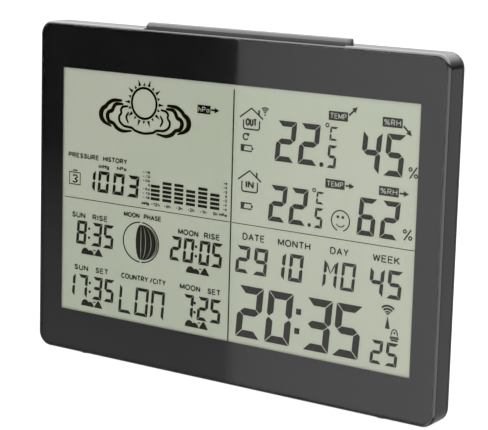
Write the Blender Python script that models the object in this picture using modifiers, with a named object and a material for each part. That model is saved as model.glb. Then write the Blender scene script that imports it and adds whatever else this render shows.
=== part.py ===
"""Home weather station: a desktop and wall display unit, built as an assembly.

Run with:  blender --background --python part.py

Lengths are written in millimetres and turned into scene metres by the helper functions.
Every piece hangs under one empty, the datum. It stands at the lower front edge of the case,
so in this file x runs across the front, y runs backwards from the front face and z runs up
from the underside of the case. The rubber feet reach FOOT_PROUD below that, down to the table.
"""

from math import cos, pi, radians, sin

import bmesh
import bpy
from mathutils import Matrix, Vector

MM = 0.001

# Case
WIDTH = 213.0
HEIGHT = 154.1
DEPTH = 29.0
SLAB_DEPTH = 13.0
CORNER_RADIUS = 6.5
FRONT_FILLET = 0.9
REAR_FILLET = 1.0
WALL = 2.0
GAP = 0.3
FOOT_PROUD = 0.5
PARTING = 10.7
REAR_START = PARTING + GAP

# Hump that holds the cells, behind the slab
HUMP_HALF_WIDTH = 92.0
HUMP_BOTTOM = 0.6
HUMP_TOP = 146.0
HUMP_CORNER = 5.0
HUMP_FILLET = 2.0
HUMP_WALL = 2.2
HUMP_INSIDE = DEPTH - HUMP_WALL

# Front lens and display window
LENS_RIM = 0.95
LENS_THICKNESS = 1.2
PLATE_FRONT = LENS_THICKNESS + GAP
PLATE_BACK = PLATE_FRONT + 1.2
WINDOW_HALF_WIDTH = 93.4
WINDOW_LOW = 19.4
WINDOW_HIGH = 134.0
WINDOW_MARGIN = 1.0
GLASS_BORDER = 4.4

# Printed circuit boards
BOARD_FRONT = 7.8
BOARD_BACK = 9.4
ON_BOARD = BOARD_BACK + GAP
BOARD_SCREW_PLACES = [(x, z) for x in (-88.0, 88.0) for z in (8.0, 145.0)]
CASE_SCREW_PLACES = [(x, z) for x in (-99.9, 99.9) for z in (7.0, 146.5)]
PILOT_RADIUS = 1.4

# Snooze and light bar
BAR_CENTRE = 5.2
BAR_HALF_LENGTH = 52.9
BAR_FRONT = 2.4
BAR_BACK = 7.4
BAR_PROUD = 2.5
BAR_RELIEF = 0.4
BAR_ENDS = (BAR_CENTRE - BAR_HALF_LENGTH, BAR_CENTRE + BAR_HALF_LENGTH)
BAR_SLOT = (BAR_ENDS[0] - GAP, BAR_ENDS[1] + GAP)

# Rear buttons, top to bottom
BUTTON_X = -75.0
BUTTON_PITCH = 13.0
BUTTON_HEIGHTS = [118.0 - BUTTON_PITCH * i for i in range(6)]
BUTTON_WIDTH = 10.0
BUTTON_TALL = 5.5
BUTTON_FLOOR = DEPTH - 1.0
BUTTON_POST_HEIGHTS = [111.5, 59.5]
KEY_BOARD_BACK = 21.7

# AA cells, lying across the case
CELL_RADIUS = 7.25
CELL_LENGTH = 50.5
CELL_Y = 18.9
CELL_HEIGHTS = [119.0, 103.5, 88.0]
BAY_HALF_WIDTH = 30.0
BAY_LOW = 80.0
BAY_HIGH = 127.0
CONTACT_FACE = BAY_HALF_WIDTH - 0.75
DOOR_HALF_WIDTH = 31.5
DOOR_LOW = 78.5
DOOR_HIGH = 128.5
DOOR_FRONT = DEPTH - 1.7

# Fold-out stand
LEG_HALF_WIDTH = 26.0
LEG_LOW = 6.3
LEG_HINGE_Y = 27.0
LEG_HINGE_Z = 70.0
LEG_HALF_THICKNESS = 1.7
LEG_PIN_RADIUS = 1.2

# Feet: (x, y, underside of the case at that place)
FOOT_RADIUS = 4.0
FOOT_PLACES = [(x, 5.6, 0.0) for x in (-80.0, 80.0)]
FOOT_PLACES += [(x, 22.0, HUMP_BOTTOM) for x in (-80.0, 80.0)]
FOOT_SUNK = 0.8

# Other places on the back
KEYHOLE_PLACES = [(-50.0, 108.0), (50.0, 108.0)]
BUZZER_X = 68.0
BUZZER_Z = 112.0
BUZZER_RADIUS = 7.0
VENT_XS = [50.0 + 5.0 * i for i in range(7)]
VENT_LOW = 30.0
VENT_HIGH = 50.0
JACK_Y = 20.0
JACK_Z = 22.0
FERRITE_Y = 18.0
FERRITE_Z = 137.0
FERRITE_RADIUS = 4.0
FERRITE_ENDS = (-85.0, -25.0)

AXIS_TURNS = {
    "X": Matrix.Rotation(radians(90), 4, "Y"),
    "Y": Matrix.Rotation(radians(-90), 4, "X"),
    "Z": Matrix.Identity(4),
}


# ---------------------------------------------------------------- helpers

def clear_scene():
    for old in list(bpy.data.objects):
        bpy.data.objects.remove(old, do_unlink=True)


def new_collection(name):
    collection = bpy.data.collections.new(name)
    bpy.context.scene.collection.children.link(collection)
    return collection


clear_scene()
PARTS = new_collection("weather_station")
CUTTERS = new_collection("weather_station_cutters")
DATUM = bpy.data.objects.new("datum", None)
DATUM.location = (0, -DEPTH / 2 * MM, FOOT_PROUD * MM)
PARTS.objects.link(DATUM)


def place(name, mesh, origin):
    """A new object at origin (millimetres from the datum), first put among the cutters."""
    piece = bpy.data.objects.new(name, mesh)
    piece.parent = DATUM
    piece.location = Vector(origin) * MM
    piece.hide_render = True
    piece.display_type = "WIRE"
    CUTTERS.objects.link(piece)
    return piece


def finish(piece, colour, roughness, metallic=0.0, alpha=1.0):
    """Move a piece from the cutters to the parts and give it its own material."""
    CUTTERS.objects.unlink(piece)
    PARTS.objects.link(piece)
    piece.hide_render = False
    piece.display_type = "TEXTURED"
    material = bpy.data.materials.new(piece.name + "_material")
    material.use_nodes = True
    shader = material.node_tree.nodes["Principled BSDF"]
    shader.inputs["Base Color"].default_value = (*colour, 1)
    shader.inputs["Roughness"].default_value = roughness
    shader.inputs["Metallic"].default_value = metallic
    shader.inputs["Alpha"].default_value = alpha
    piece.data.materials.append(material)
    return piece


def edges_where(bm, test):
    """The edges whose two ends both pass the test."""
    return [edge for edge in bm.edges if all(test(vert.co) for vert in edge.verts)]


def round_over(bm, edges, radius, segments):
    bmesh.ops.bevel(bm, geom=edges, offset=radius * MM, segments=segments, profile=0.5, affect="EDGES")


def block(name, x, y, z, corner=0.0, segments=4, axis="Y", front=0.0, back=0.0, top=0.0, origin=None):
    """A box between (low, high) pairs.

    corner rounds the four edges along axis; front, back and top then round the outline of that face.
    """
    low = Vector((x[0], y[0], z[0]))
    high = Vector((x[1], y[1], z[1]))
    centre = (low + high) / 2
    origin = centre if origin is None else Vector(origin)
    half = (high - low) / 2 * MM
    bm = bmesh.new()
    bmesh.ops.create_cube(bm, size=2.0)
    bmesh.ops.scale(bm, vec=half, verts=bm.verts)
    if corner:
        run = "XYZ".index(axis)
        along = [edge for edge in bm.edges
                 if abs(edge.verts[0].co[run] - edge.verts[1].co[run]) > half[run]]
        round_over(bm, along, corner, segments)
    near = 1e-6
    if front:
        round_over(bm, edges_where(bm, lambda co: co.y < -half.y + near), front, 3)
    if back:
        round_over(bm, edges_where(bm, lambda co: co.y > half.y - near), back, 4 if back > 1 else 2)
    if top:
        round_over(bm, edges_where(bm, lambda co: co.z > half.z - near), top, 3)
    bmesh.ops.translate(bm, vec=(centre - origin) * MM, verts=bm.verts)
    mesh = bpy.data.meshes.new(name)
    bm.to_mesh(mesh)
    bm.free()
    smooth(mesh)
    return place(name, mesh, origin)


def smooth(mesh):
    mesh.shade_smooth()
    mesh.set_sharp_from_angle(angle=radians(35))


def outline(name, inset, y, segments=6, **rounding):
    """A block with the outline of the case, inset all round."""
    half = WIDTH / 2 - inset
    radius = CORNER_RADIUS - inset
    return block(name, (-half, half), y, (inset, HEIGHT - inset), radius, segments, **rounding)


def rod(name, start, axis, length, radius, sides=16, origin=None):
    """A cylinder from start along +axis."""
    origin = Vector(start if origin is None else origin)
    bm = bmesh.new()
    bmesh.ops.create_cone(bm, cap_ends=True, segments=sides, radius1=radius * MM, radius2=radius * MM,
                          depth=length * MM)
    bmesh.ops.translate(bm, vec=(0, 0, length / 2 * MM), verts=bm.verts)
    bmesh.ops.transform(bm, matrix=AXIS_TURNS[axis], verts=bm.verts)
    bmesh.ops.translate(bm, vec=(Vector(start) - origin) * MM, verts=bm.verts)
    mesh = bpy.data.meshes.new(name)
    bm.to_mesh(mesh)
    bm.free()
    smooth(mesh)
    return place(name, mesh, origin)


def turned(name, origin, axis, profile, steps, closed=False, flip=False):
    """A turned piece: profile is (radius, height) from top to bottom, height running along +axis."""
    mesh = bpy.data.meshes.new(name)
    points = [(radius * MM, 0, height * MM) for radius, height in profile]
    edges = [(i, i + 1) for i in range(len(points) - 1)]
    if closed:
        edges.append((len(points) - 1, 0))
    mesh.from_pydata(points, edges, [])
    piece = place(name, mesh, origin)
    turn = AXIS_TURNS[axis].copy()
    if flip:
        turn = turn @ Matrix.Rotation(pi, 4, "X")
    piece.rotation_euler = turn.to_euler()
    screw = piece.modifiers.new("turn", "SCREW")
    screw.steps = steps
    screw.render_steps = steps
    screw.use_merge_vertices = True
    screw.merge_threshold = 0.00001
    return piece


def wire(name, points, radius):
    """A round wire along points (millimetres from the datum), as a mesh with welded caps."""
    curve = bpy.data.curves.new(name, "CURVE")
    curve.dimensions = "3D"
    curve.bevel_depth = radius * MM
    curve.bevel_resolution = 1
    curve.use_fill_caps = True
    spline = curve.splines.new("POLY")
    spline.points.add(len(points) - 1)
    for spot, point in zip(spline.points, points):
        spot.co = (*(Vector(point) * MM), 1)
    guide = place(name + "_guide", curve, (0, 0, 0))
    bpy.context.view_layer.update()
    evaluated = guide.evaluated_get(bpy.context.evaluated_depsgraph_get())
    mesh = bpy.data.meshes.new_from_object(evaluated)
    mesh.name = name
    bpy.data.objects.remove(guide, do_unlink=True)
    bm = bmesh.new()
    bm.from_mesh(mesh)
    bmesh.ops.remove_doubles(bm, verts=bm.verts, dist=0.00001)
    bm.to_mesh(mesh)
    bm.free()
    smooth(mesh)
    return place(name, mesh, (0, 0, 0))


def gather(name, pieces):
    """Several cutters that stay clear of each other, as one cutter."""
    bm = bmesh.new()
    for piece in pieces:
        start = len(bm.verts)
        bm.from_mesh(piece.data)
        bm.verts.ensure_lookup_table()
        bmesh.ops.translate(bm, vec=piece.location, verts=bm.verts[start:])
        bpy.data.objects.remove(piece, do_unlink=True)
    mesh = bpy.data.meshes.new(name)
    bm.to_mesh(mesh)
    bm.free()
    smooth(mesh)
    return place(name, mesh, (0, 0, 0))


def boolean(piece, operand, operation):
    step = piece.modifiers.new(operand.name, "BOOLEAN")
    step.operation = operation
    step.solver = "EXACT"
    step.object = operand


def cut(piece, *cutters):
    for cutter in cutters:
        boolean(piece, cutter, "DIFFERENCE")


def fuse(piece, *additions):
    for addition in additions:
        boolean(piece, addition, "UNION")


def screw_profile(head_radius, head_height, shank_radius, shank_length):
    """Pan head above height 0, shank with a blunt tip below it."""
    lip = head_height * 0.45
    dome = [(head_radius * cos(a), lip + (head_height - lip) * sin(a)) for a in (pi / 3, pi / 6, 0)]
    tip = shank_radius * 0.5
    return [(0, head_height), *dome, (head_radius, 0), (shank_radius, 0),
            (shank_radius, tip - shank_length), (tip, -shank_length), (0, -shank_length)]


def cross_recess(name, centre, reach, width, y):
    """Two crossed slots for a screwdriver, as one cutter."""
    x, z = centre
    upright = block(name, (x - width, x + width), y, (z - reach, z + reach))
    level = block(name + "_level", (x - reach, x + reach), y, (z - width, z + width))
    fuse(upright, level)
    return upright


# ---------------------------------------------------------------- case

def foot_seats(name, places):
    return gather(name, [rod("seat", (x, y, underside - 1), "Z", 1 + FOOT_SUNK, FOOT_RADIUS + GAP, 20)
                         for x, y, underside in places])


def make_front_case():
    case = outline("front_case", 0.0, (0.0, PARTING), front=FRONT_FILLET)
    cut(case, outline("front_cavity", WALL, (PLATE_BACK, PARTING + 1)))
    cut(case, outline("lens_seat", LENS_RIM, (-1, PLATE_FRONT)))
    window = WINDOW_HALF_WIDTH + WINDOW_MARGIN
    cut(case, block("window_opening", (-window, window), (0, PLATE_BACK + 1),
                    (WINDOW_LOW - WINDOW_MARGIN, WINDOW_HIGH + WINDOW_MARGIN), corner=1.0))
    root = PLATE_BACK - 0.5
    bosses = [rod("boss", (x, root, z), "Y", BOARD_FRONT - GAP - root, 2.6)
              for x, z in BOARD_SCREW_PLACES]
    bosses += [rod("boss", (x, root, z), "Y", 9.0 - root, 2.75) for x, z in CASE_SCREW_PLACES]
    fuse(case, gather("screw_bosses", bosses))
    pilots = [rod("pilot", (x, PLATE_BACK + 0.5, z), "Y", 7.0, PILOT_RADIUS, 12)
              for x, z in BOARD_SCREW_PLACES + CASE_SCREW_PLACES]
    cut(case, gather("screw_pilots", pilots))
    cut(case, block("bar_slot", BAR_SLOT, (BAR_FRONT - GAP, BAR_BACK + GAP),
                    (HEIGHT - 4.2, HEIGHT + 2), 2.0, 5, "Z"))
    cut(case, block("bar_relief", (BAR_SLOT[0] + 1, BAR_SLOT[1] - 1), (-1, BAR_FRONT + 1),
                    (HEIGHT - BAR_RELIEF, HEIGHT + 1)))
    cut(case, foot_seats("front_foot_seats", FOOT_PLACES[:2]))
    finish(case, (0.045, 0.045, 0.047), 0.42)


def make_front_lens():
    inset = LENS_RIM + GAP
    lens = outline("front_lens", inset, (0.0, LENS_THICKNESS))
    finish(lens, (0.02, 0.02, 0.022), 0.04, alpha=0.35)


def cut_back_openings(case):
    """Buttons, keyholes, buzzer holes, vents, reset hole and the power socket."""
    low = BUTTON_HEIGHTS[-1] - 8
    high = BUTTON_HEIGHTS[0] + 8
    cut(case, block("button_panel", (BUTTON_X - 8, BUTTON_X + 8), (BUTTON_FLOOR, DEPTH + 1),
                    (low, high), 3.0))
    reach_x = BUTTON_WIDTH / 2 + GAP
    reach_z = BUTTON_TALL / 2 + GAP
    through = (HUMP_INSIDE - 1, DEPTH + 1)
    drill = {"axis": "Y", "length": HUMP_WALL + 2}
    holes = [block("hole", (BUTTON_X - reach_x, BUTTON_X + reach_x), through,
                   (height - reach_z, height + reach_z), 2.3, 3) for height in BUTTON_HEIGHTS]
    holes += [rod("hole", (x, through[0], z), radius=4.0, sides=20, **drill) for x, z in KEYHOLE_PLACES]
    ring = [(BUZZER_X, BUZZER_Z)]
    ring += [(BUZZER_X + 4 * cos(i * pi / 3), BUZZER_Z + 4 * sin(i * pi / 3)) for i in range(6)]
    holes += [rod("hole", (x, through[0], z), radius=0.8, sides=8, **drill) for x, z in ring]
    holes += [block("hole", (x - 1, x + 1), through, (VENT_LOW, VENT_HIGH), 0.9, 2)
              for x in VENT_XS]
    holes.append(rod("hole", (BUTTON_X, through[0], low - 6), radius=0.9, sides=12, **drill))
    cut(case, gather("back_openings", holes))
    cut(case, gather("keyhole_slots", [block("slot", (x - 2.1, x + 2.1), through, (z - 2, z + 10), 2.0)
                                       for x, z in KEYHOLE_PLACES]))
    cut(case, rod("socket_hole", (HUMP_HALF_WIDTH - 4, JACK_Y, JACK_Z), "X", 6, 3.9, 24))


def add_battery_bay(case):
    fuse(case, block("bay_walls", (-33.5, 33.5), (9.9, DEPTH - 1), (BAY_LOW - 3.5, BAY_HIGH + 3.5)))
    cut(case, block("bay_room", (-BAY_HALF_WIDTH, BAY_HALF_WIDTH), (11.4, DEPTH + 1),
                    (BAY_LOW, BAY_HIGH), 0.8, 2))
    side = DOOR_HALF_WIDTH + GAP
    cut(case, block("door_seat", (-side, side), (DOOR_FRONT - GAP, DEPTH + 1),
                    (DOOR_LOW - GAP, DOOR_HIGH + GAP), 2.0))
    cut(case, block("door_finger_notch", (-8, 8), (DEPTH - 1.3, DEPTH + 1),
                    (DOOR_HIGH - 3, DOOR_HIGH + 6), 4.0))


def add_stand_recess(case):
    fuse(case, block("stand_walls", (-28.3, 28.3), (23.5, DEPTH - 1), (2.0, 73.8)))
    side = LEG_HALF_WIDTH + GAP
    floor = LEG_HINGE_Y - LEG_HALF_THICKNESS - GAP
    cut(case, block("stand_room", (-side, side), (floor, DEPTH + 1),
                    (LEG_LOW - GAP, LEG_HINGE_Z + LEG_HALF_THICKNESS + GAP)))
    cut(case, rod("stand_pin_holes", (-side - 1.6, LEG_HINGE_Y, LEG_HINGE_Z), "X", 2 * (side + 1.6),
                  LEG_PIN_RADIUS + GAP))
    notches = [block("notch", (x - 6, x + 6), (DEPTH - 1.8, DEPTH + 1), (14, 34), 4.0)
               for x in (-30.0, 30.0)]
    cut(case, gather("stand_finger_notches", notches))


def make_rear_case():
    case = outline("rear_case", 0.0, (REAR_START, SLAB_DEPTH), back=REAR_FILLET)
    fuse(case, block("hump", (-HUMP_HALF_WIDTH, HUMP_HALF_WIDTH), (REAR_START + 0.4, DEPTH),
                     (HUMP_BOTTOM, HUMP_TOP), HUMP_CORNER, 4, back=HUMP_FILLET))
    tongue = outline("tongue", WALL + GAP, (PARTING - 1.2, REAR_START + 0.4), 5)
    cut(tongue, outline("tongue_inside", WALL + GAP + 1, (PARTING - 2.2, REAR_START + 1.4), 5))
    fuse(case, tongue)
    inside = HUMP_HALF_WIDTH - WALL
    cut(case, block("hump_room", (-inside, inside), (8.0, HUMP_INSIDE), (3.6, HUMP_TOP - WALL), 3.0))
    add_battery_bay(case)
    add_stand_recess(case)
    cut_back_openings(case)
    corners = CASE_SCREW_PLACES
    fuse(case, gather("case_pillars", [rod("pillar", (x, 9.3, z), "Y", 2.2, 3.9) for x, z in corners]))
    cut(case, gather("counterbores", [rod("bore", (x, 10.6, z), "Y", 4.0, 2.8, 20) for x, z in corners]))
    cut(case, gather("clearances", [rod("bore", (x, 8.0, z), "Y", 4.0, 1.5, 12) for x, z in corners]))
    heights = BUTTON_POST_HEIGHTS
    shoulders = [rod("post", (BUTTON_X, KEY_BOARD_BACK + GAP, z), "Y", 5.2, 2.2, 12) for z in heights]
    posts = [rod("post", (BUTTON_X, KEY_BOARD_BACK - 2, z), "Y", 3.0, 1.2, 12) for z in heights]
    fuse(case, gather("key_board_shoulders", shoulders))
    fuse(case, gather("key_board_posts", posts))
    for index, x in enumerate((FERRITE_ENDS[0] + 4, FERRITE_ENDS[1] - 6), 1):
        cradle = block(f"ferrite_cradle_{index}", (x, x + 2), (FERRITE_Y - 1, HUMP_INSIDE + 0.5),
                       (FERRITE_Z - 5.5, FERRITE_Z + 5.5))
        cut(cradle, rod(f"ferrite_groove_{index}", (x - 1, FERRITE_Y, FERRITE_Z), "X", 4,
                        FERRITE_RADIUS + GAP, 20))
        fuse(case, cradle)
    cut(case, foot_seats("rear_foot_seats", FOOT_PLACES[2:]))
    cut(case, block("tongue_gap", (BAR_SLOT[0] - 4, BAR_SLOT[1] + 4), (8.0, REAR_START + 0.2),
                    (HEIGHT - 4.5, HEIGHT - WALL)))
    finish(case, (0.040, 0.040, 0.042), 0.5)


def make_case_screws():
    for index, (x, z) in enumerate(CASE_SCREW_PLACES, 1):
        screw = turned(f"case_screw_{index}", (x, 10.9, z), "Y", screw_profile(2.4, 1.5, 1.1, 6.4),
                       12)
        cut(screw, cross_recess(f"case_screw_recess_{index}", (x, z), 1.4, 0.35, (11.6, 13)))
        finish(screw, (0.5, 0.5, 0.5), 0.35, 1.0)


def make_feet():
    for index, (x, y, underside) in enumerate(FOOT_PLACES, 1):
        height = FOOT_PROUD + underside + FOOT_SUNK - GAP
        ease = 0.25
        profile = [(0, height), (FOOT_RADIUS, height), (FOOT_RADIUS, ease), (FOOT_RADIUS - ease, 0),
                   (0, 0)]
        foot = turned(f"foot_{index}", (x, y, -FOOT_PROUD), "Z", profile, 20)
        finish(foot, (0.03, 0.03, 0.03), 0.85)


def make_battery_door():
    centre = (0.0, (DOOR_FRONT + DEPTH) / 2, (DOOR_LOW + DOOR_HIGH) / 2)
    door = block("battery_door", (-DOOR_HALF_WIDTH, DOOR_HALF_WIDTH), (DOOR_FRONT, DEPTH - 0.1),
                 (DOOR_LOW, DOOR_HIGH), 1.8, 3, back=0.3, origin=centre)
    for index in range(4):
        z = DOOR_HIGH - 13 + 2.5 * index
        cut(door, block(f"door_grip_{index + 1}", (-9, 9), (DEPTH - 0.7, DEPTH + 1),
                        (z - 0.6, z + 0.6), 0.4, 1))
    finish(door, (0.040, 0.040, 0.042), 0.5)


def make_stand_leg():
    hinge = (0.0, LEG_HINGE_Y, LEG_HINGE_Z)
    front = LEG_HINGE_Y - LEG_HALF_THICKNESS
    back = LEG_HINGE_Y + LEG_HALF_THICKNESS
    half = LEG_HALF_WIDTH
    leg = block("stand_leg", (-half, half), (front, back), (LEG_LOW, LEG_HINGE_Z + LEG_HALF_THICKNESS),
                LEG_HALF_THICKNESS - 0.1, 5, "X", origin=hinge)
    fuse(leg, rod("leg_pins", (-half - 1.3, LEG_HINGE_Y, LEG_HINGE_Z), "X", 2 * half + 2.6,
                  LEG_PIN_RADIUS))
    for side, x in (("left", (-half + 3, -1.2)), ("right", (1.2, half - 3))):
        cut(leg, block(f"leg_hollow_{side}", x, (front - 1, front + 1.6),
                       (LEG_LOW + 5, LEG_HINGE_Z - 6)))
    finish(leg, (0.040, 0.040, 0.042), 0.5)


# ---------------------------------------------------------------- controls

def make_snooze_bar():
    underside = HEIGHT - WALL - 0.8
    middle = (BAR_FRONT + BAR_BACK) / 2
    bar = block("snooze_bar", BAR_ENDS, (BAR_FRONT, BAR_BACK), (underside, HEIGHT + BAR_PROUD), 1.7,
                5, "Z", top=0.8, origin=(BAR_CENTRE, middle, HEIGHT))
    fuse(bar, block("bar_flange", (BAR_ENDS[0] - 2, BAR_ENDS[1] + 2),
                    (PLATE_BACK + GAP, PARTING - 0.2), (underside - 0.8, HEIGHT - WALL - GAP)))
    fuse(bar, block("bar_stem", (-2, 2), (ON_BOARD + 0.05, PARTING - 0.1), (142.7, underside)))
    finish(bar, (0.11, 0.11, 0.115), 0.45)


def make_rear_buttons():
    for index, height in enumerate(BUTTON_HEIGHTS, 1):
        half = BUTTON_WIDTH / 2
        tall = BUTTON_TALL / 2
        button = block(f"rear_button_{index}", (BUTTON_X - half, BUTTON_X + half), (26.2, DEPTH - 0.1),
                       (height - tall, height + tall), 2.0, 3, back=0.35, origin=(BUTTON_X, DEPTH, height))
        fuse(button, block(f"button_flange_{index}", (BUTTON_X - half - 1, BUTTON_X + half + 1),
                           (25.9, HUMP_INSIDE - GAP), (height - tall - 1, height + tall + 1)))
        fuse(button, rod(f"button_stem_{index}", (BUTTON_X, 24.5, height), "Y", 1.8, 1.2, 10))
        finish(button, (0.09, 0.09, 0.095), 0.55)


def make_key_switches():
    for index, height in enumerate(BUTTON_HEIGHTS, 1):
        switch = block(f"key_switch_{index}", (BUTTON_X - 3, BUTTON_X + 3), (KEY_BOARD_BACK + GAP, 24.8),
                       (height - 3, height + 3), 0.5, 2)
        cut(switch, rod(f"key_switch_well_{index}", (BUTTON_X, 23.3, height), "Y", 3, 1.7, 12))
        finish(switch, (0.02, 0.02, 0.02), 0.5)
    snooze = block("snooze_switch", (-3, 3), (ON_BOARD, 13.0), (139.2, 143.0), 0.4, 2)
    cut(snooze, block("snooze_switch_well", (-2.4, 2.4), (ON_BOARD - 1, 11.1), (141.3, 144)))
    finish(snooze, (0.02, 0.02, 0.02), 0.5)


def make_key_board():
    board = block("key_board", (-86, -64), (KEY_BOARD_BACK - 1.2, KEY_BOARD_BACK), (34, 126), 1.0, 2)
    for index, z in enumerate(BUTTON_POST_HEIGHTS, 1):
        cut(board, rod(f"key_board_hole_{index}", (BUTTON_X, KEY_BOARD_BACK - 3, z), "Y", 5, 1.5, 12))
    finish(board, (0.02, 0.12, 0.05), 0.5)


# ---------------------------------------------------------------- display

def make_display():
    half = WINDOW_HALF_WIDTH + GLASS_BORDER
    low = WINDOW_LOW - GLASS_BORDER - 1
    high = WINDOW_HIGH + GLASS_BORDER + 1
    panel = block("lcd_panel", (-half, half), (3.0, 5.2), (low, high))
    for name, ledge in (("lower", (low - 1, low + 4)), ("upper", (high - 4, high + 1))):
        cut(panel, block(f"lcd_ledge_{name}", (-half - 1, half + 1), (4.1, 6.0), ledge))
    finish(panel, (0.42, 0.43, 0.36), 0.2)

    frame = block("lcd_frame", (-half - 2, half + 2), (3.0, 7.5), (low - 2, high + 2), 1.0, 3)
    cut(frame, block("lcd_frame_room", (-half - GAP, half + GAP), (2.0, 8.5), (low - GAP, high + GAP)))
    finish(frame, (0.75, 0.75, 0.73), 0.6)

    guide = block("light_guide", (-half + 2.8, half - 2.8), (5.5, 7.0), (low + 5, high - 5), 0.5, 2)
    finish(guide, (0.85, 0.88, 0.88), 0.1, alpha=0.5)
    sheet = block("reflector_sheet", (-half + 3.3, half - 3.3), (7.25, 7.5), (low + 5.3, high - 5.3))
    finish(sheet, (0.9, 0.9, 0.9), 0.5)
    for name, z in (("lower", low + 0.6), ("upper", high - 3.1)):
        strip = block(f"zebra_strip_{name}", (-half + 8, half - 8), (4.4, 7.5), (z, z + 2.5))
        finish(strip, (0.8, 0.5, 0.55), 0.7)
    for name, x in (("left", -half + 0.4), ("right", half - 2.4)):
        led = block(f"backlight_led_{name}", (x, x + 2), (5.5, 7.5), (74, 79))
        finish(led, (0.9, 0.9, 0.8), 0.3)


# ---------------------------------------------------------------- electronics

def make_main_board():
    board = block("main_board", (-96, 96), (BOARD_FRONT, BOARD_BACK), (4.8, 147.9), 1.5, 3)
    for index, (x, z) in enumerate(BOARD_SCREW_PLACES, 1):
        cut(board, rod(f"board_hole_{index}", (x, BOARD_FRONT - 1, z), "Y", 4, 1.6, 12))
        screw = turned(f"board_screw_{index}", (x, ON_BOARD, z), "Y",
                       screw_profile(2.1, 0.95, 1.1, 5.6), 10)
        finish(screw, (0.5, 0.5, 0.5), 0.35, 1.0)
    finish(board, (0.02, 0.14, 0.06), 0.5)


def make_board_parts():
    dome = [(8 * cos(a), 2.2 * sin(a)) for a in (radians(30 * i) for i in (2, 1, 0))]
    glob = turned("controller_glob", (-8, ON_BOARD, 52), "Y", [(0, 2.2), *dome, (0, 0)], 20)
    finish(glob, (0.01, 0.01, 0.01), 0.25)
    crystal = rod("crystal", (12, ON_BOARD + 1.5, 47), "Z", 8.0, 1.5, 14)
    finish(crystal, (0.7, 0.7, 0.7), 0.25, 1.0)
    sensor = block("pressure_sensor", (38, 42), (ON_BOARD, ON_BOARD + 1.6), (38, 42), 0.6, 2)
    cut(sensor, rod("pressure_port", (39.2, ON_BOARD + 0.6, 40.8), "Y", 2, 0.4, 8))
    finish(sensor, (0.75, 0.75, 0.75), 0.3, 1.0)
    sensor = block("humidity_sensor", (58, 66), (ON_BOARD, ON_BOARD + 3), (34, 46), 0.6, 2)
    for index in range(4):
        z = 36.25 + 2.5 * index
        cut(sensor, block(f"humidity_slot_{index + 1}", (59.5, 64.5), (ON_BOARD + 1.5, ON_BOARD + 4),
                          (z - 0.5, z + 0.5)))
    finish(sensor, (0.85, 0.85, 0.83), 0.5)
    radio = block("radio_module", (52, 70), (ON_BOARD, ON_BOARD + 2.6), (66, 80), 0.5, 2)
    finish(radio, (0.7, 0.7, 0.7), 0.3, 1.0)
    turns = 5
    per_turn = 8
    coil = [(61 + 2.4 * cos(i * 2 * pi / per_turn), ON_BOARD + 3.4 + 2.4 * sin(i * 2 * pi / per_turn),
             80.8 + 14.0 * i / (turns * per_turn)) for i in range(turns * per_turn + 1)]
    finish(wire("radio_antenna", coil, 0.35), (0.75, 0.4, 0.2), 0.3, 1.0)
    rod_length = FERRITE_ENDS[1] - FERRITE_ENDS[0]
    ferrite = rod("ferrite_rod", (FERRITE_ENDS[0], FERRITE_Y, FERRITE_Z), "X", rod_length,
                  FERRITE_RADIUS, 20)
    finish(ferrite, (0.06, 0.06, 0.06), 0.6)
    inner = FERRITE_RADIUS + GAP
    profile = [(inner, 8), (5.8, 8), (6.1, 7.7), (6.1, -7.7), (5.8, -8), (inner, -8)]
    middle = sum(FERRITE_ENDS) / 2
    coil = turned("ferrite_coil", (middle, FERRITE_Y, FERRITE_Z), "X", profile, 16, closed=True)
    finish(coil, (0.5, 0.22, 0.08), 0.35, 0.6)


def make_buzzer():
    radius = BUZZER_RADIUS
    profile = [(0, 4.6), (radius - 0.5, 4.6), (radius, 4.1), (radius, 0), (0, 0)]
    buzzer = turned("buzzer", (BUZZER_X, HUMP_INSIDE - GAP - 4.6, BUZZER_Z), "Y", profile, 18)
    cut(buzzer, rod("buzzer_mouth", (BUZZER_X, HUMP_INSIDE - GAP - 2, BUZZER_Z), "Y", 3, 1.4, 12))
    finish(buzzer, (0.02, 0.02, 0.02), 0.4)


def make_dc_jack():
    wall = HUMP_HALF_WIDTH - WALL
    jack = block("dc_jack", (wall - 13, wall - GAP), (JACK_Y - 4.5, JACK_Y + 4.5),
                 (JACK_Z - 5.5, JACK_Z + 5.5), 0.5, 2)
    fuse(jack, rod("jack_barrel", (wall - 1, JACK_Y, JACK_Z), "X", 2.6, 3.55, 24))
    cut(jack, rod("jack_bore", (wall - 9, JACK_Y, JACK_Z), "X", 12, 2.75, 20))
    fuse(jack, rod("jack_pin", (wall - 10, JACK_Y, JACK_Z), "X", 10, 1.0, 12))
    finish(jack, (0.02, 0.02, 0.02), 0.4)


# ---------------------------------------------------------------- power

def make_cells():
    body = CELL_LENGTH - 1.2
    profile = [(0, CELL_LENGTH), (2.4, CELL_LENGTH), (2.7, CELL_LENGTH - 0.3), (2.7, body),
               (CELL_RADIUS - 0.8, body), (CELL_RADIUS, body - 0.6), (CELL_RADIUS, 0.5),
               (CELL_RADIUS - 0.5, 0), (0, 0)]
    for index, height in enumerate(CELL_HEIGHTS, 1):
        points_right = index != 2
        end = CONTACT_FACE - GAP
        start = end - CELL_LENGTH if points_right else CELL_LENGTH - end
        cell = turned(f"battery_{index}", (start, CELL_Y, height), "X", profile, 18, flip=not points_right)
        finish(cell, (0.55, 0.25, 0.05), 0.3, 0.5)


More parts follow.
